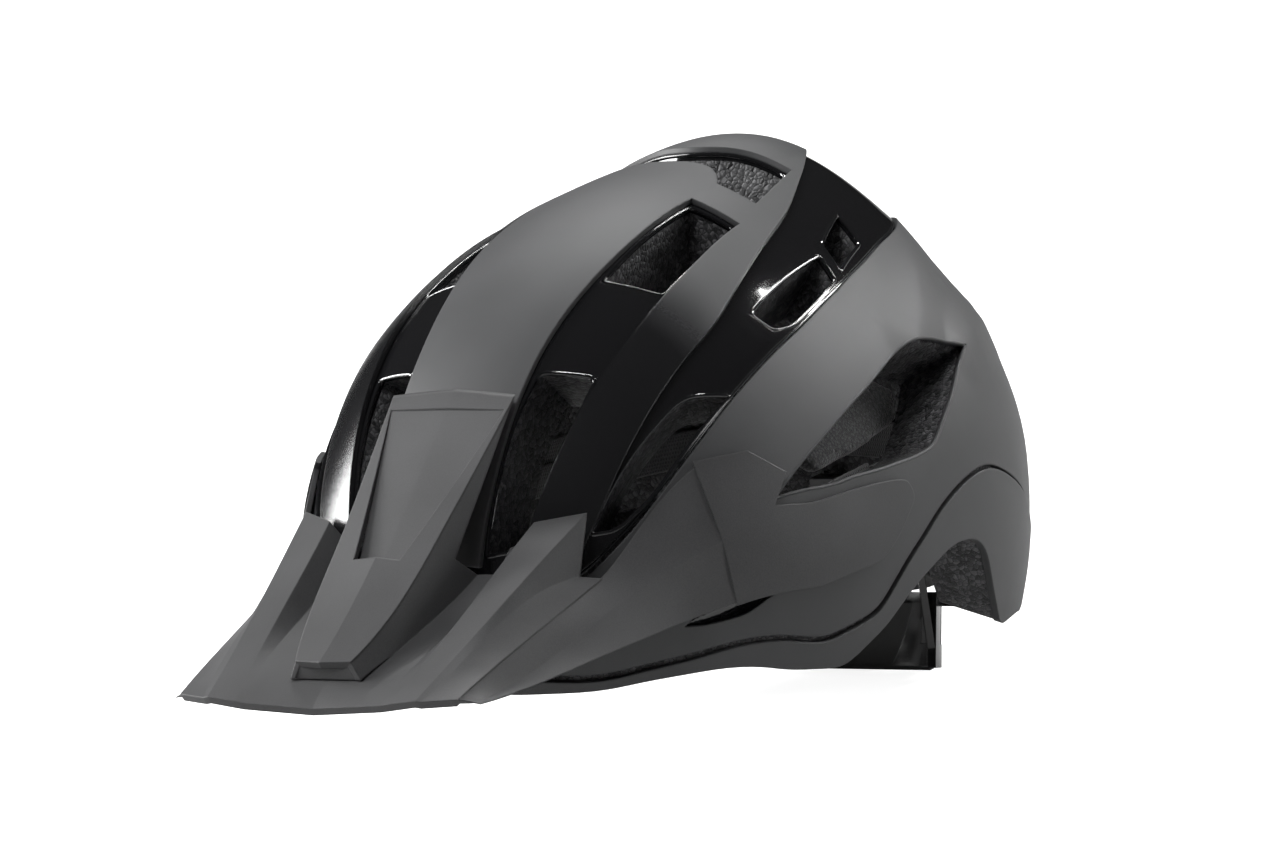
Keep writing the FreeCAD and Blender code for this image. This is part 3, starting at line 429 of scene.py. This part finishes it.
def along(path, steps):
    """Points of a smooth line through a list of bearings."""
    out = []
    n = len(path)
    for i in range(n - 1):
        four = (path[max(i - 1, 0)], path[i], path[i + 1], path[min(i + 2, n - 1)])
        for k in range(steps):
            t = k / steps
            out.append(tuple(0.5 * (2 * b + (c - a) * t + (2 * a - 5 * b + 4 * c - d) * t * t
                                    + (3 * b - a - 3 * c + d) * t ** 3) for a, b, c, d in zip(*four)))
    return out + [path[-1]]


def ribbon(name, node, path, half, top, low):
    """Woven webbing with rounded selvedges that follows the cavity wall."""
    line = along(path, PATH_STEPS)
    mesh = bpy.data.meshes.new(name)
    bm = bmesh.new()
    uv = bm.loops.layers.uv.new("weave")
    rings = []
    run = 0.0
    last = None
    for i, (u, v) in enumerate(line):
        a, b = line[max(i - 1, 0)], line[min(i + 1, len(line) - 1)]
        du, dv = b[0] - a[0], b[1] - a[1]
        k = half / math.hypot(du, dv)
        here = place(u, v, 0, CAVITY)
        run += (here - last).length if last else 0
        last = here
        ring = []
        for x, h in WEB_SECTION:
            at = place(u + dv * k * x, v - du * k * x, (top + (low - top) * h) * MM, CAVITY)
            ring.append(bm.verts.new(at))
        rings.append((ring, run))
    n = len(WEB_SECTION)
    for (r0, s0), (r1, s1) in zip(rings, rings[1:]):
        for j in range(n):
            face = bm.faces.new((r0[j], r0[(j + 1) % n], r1[(j + 1) % n], r1[j]))
            for loop, (x, s) in zip(face.loops, ((j, s0), (j + 1, s0), (j + 1, s1), (j, s1))):
                loop[uv].uv = (x * half * UV_SCALE, s)
    bm.faces.new(reversed(rings[0][0]))
    bm.faces.new(rings[-1][0])
    bmesh.ops.recalc_face_normals(bm, faces=bm.faces)
    bm.to_mesh(mesh)
    return add_object(name, mesh, "webbing", "helmet", node)


def mirrored_path(path):
    return [(-u, v) for u, v in reversed(path)]


FRONT_WEB = [(68, -50), (74, -33), (78, -15), (79, -4.5)]
REAR_WEB = [(79, 4.5), (77.5, 20), (73, 36), (66, 50)]
CHIN_LEFT = [(84.9, 4.4), (84.5, 12), (81, 30), (71, 53), (51, 72), (26, 84.5), (0, 88), (-26, 84.5), (-51, 72),
             (-71, 53), (-81, 30), (-85, 10)]
CHIN_RIGHT = [(-88, -4), (-88, -10), (-87.6, -17), (-87, -24)]
WIDE, NARROW = 4.0, 2.8     # half width of a strap in degrees
ON_WALL = (-0.3, -1.5)      # its two faces, in mm from the cavity wall
OVER_WEBS = (-1.9, -3.1)

ribbon("web_front_left", "strap_front_left", FRONT_WEB, WIDE, *ON_WALL)
ribbon("web_front_right", "strap_front_right", mirrored_path(FRONT_WEB), WIDE, *ON_WALL)
ribbon("web_rear_left", "strap_rear_left", REAR_WEB, WIDE, *ON_WALL)
ribbon("web_rear_right", "strap_rear_right", mirrored_path(REAR_WEB), WIDE, *ON_WALL)
ribbon("chin_web_left", "chin_strap_left", CHIN_LEFT, WIDE, *OVER_WEBS)
ribbon("chin_web_right", "chin_strap_right", CHIN_RIGHT, NARROW, *ON_WALL)
for pad_name, pad_node in (("pad_brow", "brow_pad"), ("pad_crown", "crown_pads"), ("pad_rear", "rear_pad"),
                           ("pad_side", "side_pads")):
    plump_pad(pad_name, pad_node, "pad")

# ---- creases of the side skin ----
# each: line of bearings, height in mm, half width in degrees
CREASES = [([(26, 39.5), (31.3, 35.9), (38.3, 30.5), (45.1, 25), (51.1, 19.1), (57, 11.2)], 1.9, 9.0),
           ([(57.2, 31), (52.9, 38.4), (47.9, 45.1), (42, 54)], 1.6, 8.0)]
MERGE_GAP = 1e-6
SPLIT_ROUNDS = 5            # each round halves the edges near a crease
CREASE_ANGLE = 24


def to_segment(p, a, b):
    """Distance from a point to a segment."""
    dx, dy = b[0] - a[0], b[1] - a[1]
    t = ((p[0] - a[0]) * dx + (p[1] - a[1]) * dy) / (dx * dx + dy * dy)
    t = max(0.0, min(1.0, t))
    return math.hypot(p[0] - a[0] - dx * t, p[1] - a[1] - dy * t)


def crease_lift(u, v):
    """Outward lift in mm where the side skin folds along its crease lines."""
    lift = 0.0
    for line, height, width in CREASES:
        near = min(to_segment((abs(u), v), a, b) for a, b in zip(line, line[1:]))
        lift = max(lift, height * max(0.0, 1 - near / width))
    return lift


def creased(name, node, slot, gap=0.0035):
    """A finer copy of a shell node, folded outward along the crease lines."""
    bm = bmesh.new()
    bm.from_mesh(NODES[node].data)
    bmesh.ops.remove_doubles(bm, verts=bm.verts, dist=MERGE_GAP)
    for turn in range(SPLIT_ROUNDS):
        long = []
        for e in bm.edges:
            middle = (e.verts[0].co + e.verts[1].co) / 2
            if e.calc_length() > gap and crease_lift(*bearing(middle)) > 0:
                long.append(e)
        if not long:
            break
        bmesh.ops.subdivide_edges(bm, edges=long, cuts=1)
        bmesh.ops.triangulate(bm, faces=[f for f in bm.faces if len(f.verts) > 3])
    for v in bm.verts:
        out = (v.co - HUB).normalized()
        v.co += out * crease_lift(*bearing(v.co)) * MM
    mesh = bpy.data.meshes.new(name)
    bm.to_mesh(mesh)
    made = add_object(name, mesh, slot, "helmet", node)
    mesh.set_sharp_from_angle(angle=math.radians(CREASE_ANGLE))
    return made


# ---- moulded rims round the vents ----
LEAST_ROUND = 0.9           # degrees cut from each side of a corner, at least


def rounded(outline, steps=5):
    """Closed list of bearings along an outline of (u, v, rounding) corners."""
    out = []
    n = len(outline)
    for i in range(n):
        u, v, r = outline[i]
        ends = []
        for other in (outline[i - 1], outline[(i + 1) % n]):
            gap = math.hypot(other[0] - u, other[1] - v)
            k = min(max(r, LEAST_ROUND), 0.4 * gap) / gap
            ends.append((u + (other[0] - u) * k, v + (other[1] - v) * k))
        for j in range(steps + 1):
            t = j / steps
            a, b, c = (1 - t) ** 2, 2 * t * (1 - t), t * t
            out.append((a * ends[0][0] + b * u + c * ends[1][0], a * ends[0][1] + b * v + c * ends[1][1]))
    return out


def dense(line, gap=1.2):
    """The same closed line with no step longer than gap degrees."""
    out = []
    for (u0, v0), (u1, v1) in zip(line, line[1:] + line[:1]):
        n = max(1, math.ceil(math.hypot(u1 - u0, v1 - v0) / gap))
        out += [(u0 + (u1 - u0) * k / n, v0 + (v1 - v0) * k / n) for k in range(n)]
    return out


def rim_rings(bm, outline, height, size, creases=False, sides=8):
    """A round bead that runs along a closed outline on the shell."""
    folded = crease_lift if creases else (lambda u, v: 0.0)
    points = [place(u, v, (height + folded(u, v)) * MM) for u, v in dense(rounded(outline))]
    n = len(points)
    rings = []
    for i, p in enumerate(points):
        t = (points[(i + 1) % n] - points[i - 1]).normalized()
        up = (p - HUB).normalized()
        side = t.cross(up).normalized()
        ring = []
        for k in range(sides):
            a = 2 * math.pi * k / sides
            ring.append(bm.verts.new(p + (side * math.cos(a) + up * math.sin(a)) * size * MM))
        rings.append(ring)
    for r0, r1 in zip(rings, rings[1:] + rings[:1]):
        for k in range(sides):
            bm.faces.new((r0[k], r0[(k + 1) % sides], r1[(k + 1) % sides], r1[k]))


def both(outline):
    """An outline and its mirror image."""
    return [outline, [(-u, v, r) for u, v, r in reversed(outline)]]


def vent_rims(name, outlines, height, size, slot, creases=False):
    """Round beads of radius size (mm), height mm above the shell, along the outlines."""
    mesh = bpy.data.meshes.new(name)
    bm = bmesh.new()
    for outline in outlines:
        rim_rings(bm, outline, height, size, creases)
    bmesh.ops.recalc_face_normals(bm, faces=bm.faces)
    bm.to_mesh(mesh)
    return add_object(name, mesh, slot)


# corners are (u, v, rounding in degrees)
REAR_VENT = [(13.8, 3.6, 1), (22, 2.6, 1.2), (20.6, 9, 5), (17.3, 20, 2.5), (9, 19.6, 3), (0, 17.4, 4),
             (-9, 19.6, 3), (-17.3, 20, 2.5), (-20.6, 9, 5), (-22, 2.6, 1.2), (-13.8, 3.6, 1),
             (-9, 10.4, 5), (9, 10.4, 5)]
VENT_1A = [(10.9, -79, 1), (18.4, -77, 1.5), (21.2, -60, 6), (21.8, -51.4, 1.5), (12.2, -53.2, 1.5),
           (11.1, -60, 6)]
VENT_1B = [(13.9, -34.4, 1.5), (24.4, -32.6, 1.5), (24.9, -20, 6), (24, -6.9, 1.5), (14.6, -6, 1.5),
           (14.2, -24, 6)]
VENT_2A = [(28.4, -72.6, 1.2), (31, -61.5, 6), (35.6, -47.6, 3), (42.6, -41.9, 1.2), (40.6, -51, 6),
           (37.4, -63.5, 5), (33, -70.4, 2)]
VENT_2B = [(37.4, -25, 1.2), (42.2, -24.4, 2), (44.3, -19, 4), (43.6, -8, 5), (41.6, 1.2, 1), (36, 3.2, 1),
           (36.7, -10, 6)]
SCOOP = [(34.2, 6.6, 1.2), (28.4, 19.6, 1.5), (35.8, 17.6, 2), (40.6, 4.2, 1)]
SIDE_VENT = [(57.2, -51, 1.5), (60.4, -32, 8), (60.6, -11, 8), (56.6, 9, 6), (57.2, 31, 2), (68, 18, 8),
             (76.6, 2, 5), (76.2, -9, 6), (73.4, -22, 6), (66.6, -38, 4)]
REAR_PORT_IN = [(7, 60, 2.5), (19, 58, 2.5), (17.5, 80, 2.5), (7, 82, 2.5)]
REAR_PORT_OUT = [(27, 57, 2), (39.5, 52, 2), (38, 71, 2), (26, 75, 2)]

gloss_vents = [REAR_VENT]
for vent in (VENT_1A, VENT_1B, VENT_2A, VENT_2B, SCOOP):
    gloss_vents += both(vent)
vent_rims("rims_gloss", gloss_vents, 0.2, 0.85, "gloss_shell")
matte_vents = both(SIDE_VENT) + both(REAR_PORT_IN) + both(REAR_PORT_OUT)
vent_rims("rims_matte", matte_vents, -0.1, 0.7, "matte_shell", creases=True)
creased("side_skin", "side_shell", "matte_shell")


def inlay(name, outlines, low, top, slot):
    """Closed thin plates that fill outlines on the shell."""
    bm = bmesh.new()
    for outline in outlines:
        line = dense(rounded(outline))
        layers = [[bm.verts.new(place(u, v, h * MM)) for u, v in line] for h in (low, top)]
        n = len(line)
        for i in range(n):
            j = (i + 1) % n
            bm.faces.new((layers[0][i], layers[0][j], layers[1][j], layers[1][i]))
        for layer in layers:
            bm.faces.new(layer)
    bmesh.ops.triangulate(bm, faces=[f for f in bm.faces if len(f.verts) > 4])
    bmesh.ops.recalc_face_normals(bm, faces=bm.faces)
    mesh = bpy.data.meshes.new(name)
    bm.to_mesh(mesh)
    return add_object(name, mesh, slot)


SLIT = [(48.6, -77.6, 0.8), (53.3, -75.2, 3), (60.2, -69.9, 3), (65.8, -61.6, 1), (60.2, -63.6, 3),
        (54, -69.6, 3)]
GROOVE = [(0, -88, 12), (18, -85, 10), (29.4, -77.6, 6), (36.2, -67.5, 8), (41, -53, 10), (43.9, -35, 12),
          (45.2, -17, 12), (43.4, -1, 12), (39.6, 14.5, 10), (31.3, 34.5, 8), (18, 48, 10), (0, 53, 14)]
GROOVE += [(-u, v, r) for u, v, r in reversed(GROOVE[1:-1])]
INSIDE_GROOVE = 0.9965      # the bead runs just above the groove's middle line
bead_line = [(u * INSIDE_GROOVE, v * INSIDE_GROOVE, r) for u, v, r in GROOVE]
# a thin gloss black plate under each slit: painted shade that makes the slit read as a dark opening
inlay("slit_shade_plate", both(SLIT), -1.5, -0.9, "gloss_shell")
vent_rims("groove_bead", [bead_line], 0.25, 0.5, "gloss_shell")

# ---- floor, light and camera ----
LOW_Z = cad_low.z
FLOOR_SIZE = 30.0
FLOOR_GAP = 0.0005
# strength of the world: what the camera sees, what lights from below and above, its share in reflections
WORLD_SEEN = 1.05
WORLD_LOW, WORLD_HIGH = 0.03, 0.4
WORLD_IN_GLOSS = 0.12


def floor():
    """A pale floor that reads white to the camera but throws little light back."""
    mesh = bpy.data.meshes.new("floor")
    bm = bmesh.new()
    bmesh.ops.create_grid(bm, x_segments=1, y_segments=1, size=FLOOR_SIZE)
    bm.to_mesh(mesh)
    obj = bpy.data.objects.new("floor", mesh)
    obj.location = (0, 0, LOW_Z - FLOOR_GAP)
    bpy.context.scene.collection.objects.link(obj)
    p = Paint("floor_pale", (0.9, 0.9, 0.9), 0.9)
    p.colour(p.mix(p.noise(3.0), (0.4, 0.4, 0.4), (0.43, 0.43, 0.43)))
    p.shader.inputs["Emission Color"].default_value = (1, 1, 1, 1)
    seen = p.node("ShaderNodeLightPath").outputs["Is Camera Ray"]
    p.link(p.spread(seen, 0.02, 0.9), p.shader.inputs["Emission Strength"])
    mesh.materials.append(p.done(Specular_IOR_Level=0.0))


def world():
    """White behind the object, and a soft light that grows with height."""
    w = bpy.data.worlds.new("studio")
    bpy.context.scene.world = w
    w.use_nodes = True
    tree = w.node_tree
    tree.nodes.clear()
    out = tree.nodes.new("ShaderNodeOutputWorld")
    seen = tree.nodes.new("ShaderNodeBackground")
    seen.inputs["Strength"].default_value = WORLD_SEEN
    seen.inputs["Color"].default_value = (1, 1, 1, 1)
    lit = tree.nodes.new("ShaderNodeBackground")
    lit.inputs["Color"].default_value = (1, 1, 1, 1)
    where = tree.nodes.new("ShaderNodeTexCoord")
    split = tree.nodes.new("ShaderNodeSeparateXYZ")
    fade = tree.nodes.new("ShaderNodeMapRange")
    for key, value in (("From Min", -0.2), ("From Max", 1.0), ("To Min", WORLD_LOW), ("To Max", WORLD_HIGH)):
        fade.inputs[key].default_value = value
    tree.links.new(where.outputs["Generated"], split.inputs[0])
    tree.links.new(split.outputs["Z"], fade.inputs["Value"])
    path = tree.nodes.new("ShaderNodeLightPath")
    dim = tree.nodes.new("ShaderNodeMapRange")
    dim.inputs["To Min"].default_value = 1.0
    dim.inputs["To Max"].default_value = WORLD_IN_GLOSS
    tree.links.new(path.outputs["Is Glossy Ray"], dim.inputs["Value"])
    level = tree.nodes.new("ShaderNodeMath")
    level.operation = "MULTIPLY"
    tree.links.new(fade.outputs[0], level.inputs[0])
    tree.links.new(dim.outputs[0], level.inputs[1])
    tree.links.new(level.outputs[0], lit.inputs["Strength"])
    mix = tree.nodes.new("ShaderNodeMixShader")
    tree.links.new(path.outputs["Is Camera Ray"], mix.inputs[0])
    tree.links.new(lit.outputs[0], mix.inputs[1])
    tree.links.new(seen.outputs[0], mix.inputs[2])
    tree.links.new(mix.outputs[0], out.inputs[0])


def softbox(name, at, size, watts, glossy=True):
    """A rectangular lamp that faces the object and is never seen directly."""
    data = bpy.data.lights.new(name, "AREA")
    data.shape = "RECTANGLE"
    data.size, data.size_y = size
    data.energy = watts
    obj = bpy.data.objects.new(name, data)
    obj.location = at
    obj.rotation_mode = "QUATERNION"
    obj.rotation_quaternion = (TARGET - at).to_track_quat("-Z", "Y")
    bpy.context.scene.collection.objects.link(obj)
    obj.visible_camera = False
    obj.visible_glossy = glossy


AZ, EL, ROLL = (math.radians(a) for a in (34.05, 11.93, -8.23))
BACK = Vector((math.sin(AZ) * math.cos(EL), -math.cos(AZ) * math.cos(EL), math.sin(EL)))
RIGHT0 = Vector((math.cos(AZ), math.sin(AZ), 0))
UP0 = BACK.cross(RIGHT0)
RIGHT = RIGHT0 * math.cos(ROLL) + UP0 * math.sin(ROLL)
UP = UP0 * math.cos(ROLL) - RIGHT0 * math.sin(ROLL)
TARGET = Vector((0, -0.0001, 0.0837)) + SHIFT
DISTANCE = 2.436
LENS = 200.8
SENSOR_WIDTH = 36.0


def seen_from(right, up, back):
    """A point in metres from the object, in the camera's own directions."""
    return TARGET + RIGHT * right + UP * up + BACK * back


def camera():
    data = bpy.data.cameras.new("camera")
    data.lens = LENS
    data.sensor_width = SENSOR_WIDTH
    data.clip_end = 100.0
    obj = bpy.data.objects.new("camera", data)
    turn = Matrix((RIGHT, UP, BACK)).transposed()
    obj.matrix_world = Matrix.Translation(TARGET + BACK * DISTANCE) @ turn.to_4x4()
    bpy.context.scene.collection.objects.link(obj)
    bpy.context.scene.camera = obj


bpy.context.scene.view_settings.view_transform = "Standard"
floor()
world()
softbox("key", seen_from(-0.9, 1.5, 1.3), (1.2, 1.0), 46, glossy=False)
softbox("crown_fill", seen_from(0.3, 1.8, -0.3), (1.4, 0.8), 12, glossy=False)
softbox("strip_left", seen_from(-1.6, 0.6, -0.1), (0.25, 1.3), 26)
softbox("strip_right", seen_from(1.3, 1.2, -0.6), (0.14, 1.1), 24)
softbox("strip_rear", seen_from(1.9, 0.2, 0.4), (0.2, 1.0), 6)
softbox("left_card", TARGET + Vector((-1.719, -0.234, 0.4716)), (0.5, 0.9), 34)
softbox("strip_top", seen_from(-0.1, 1.9, -1.1), (1.1, 0.12), 20)
camera()
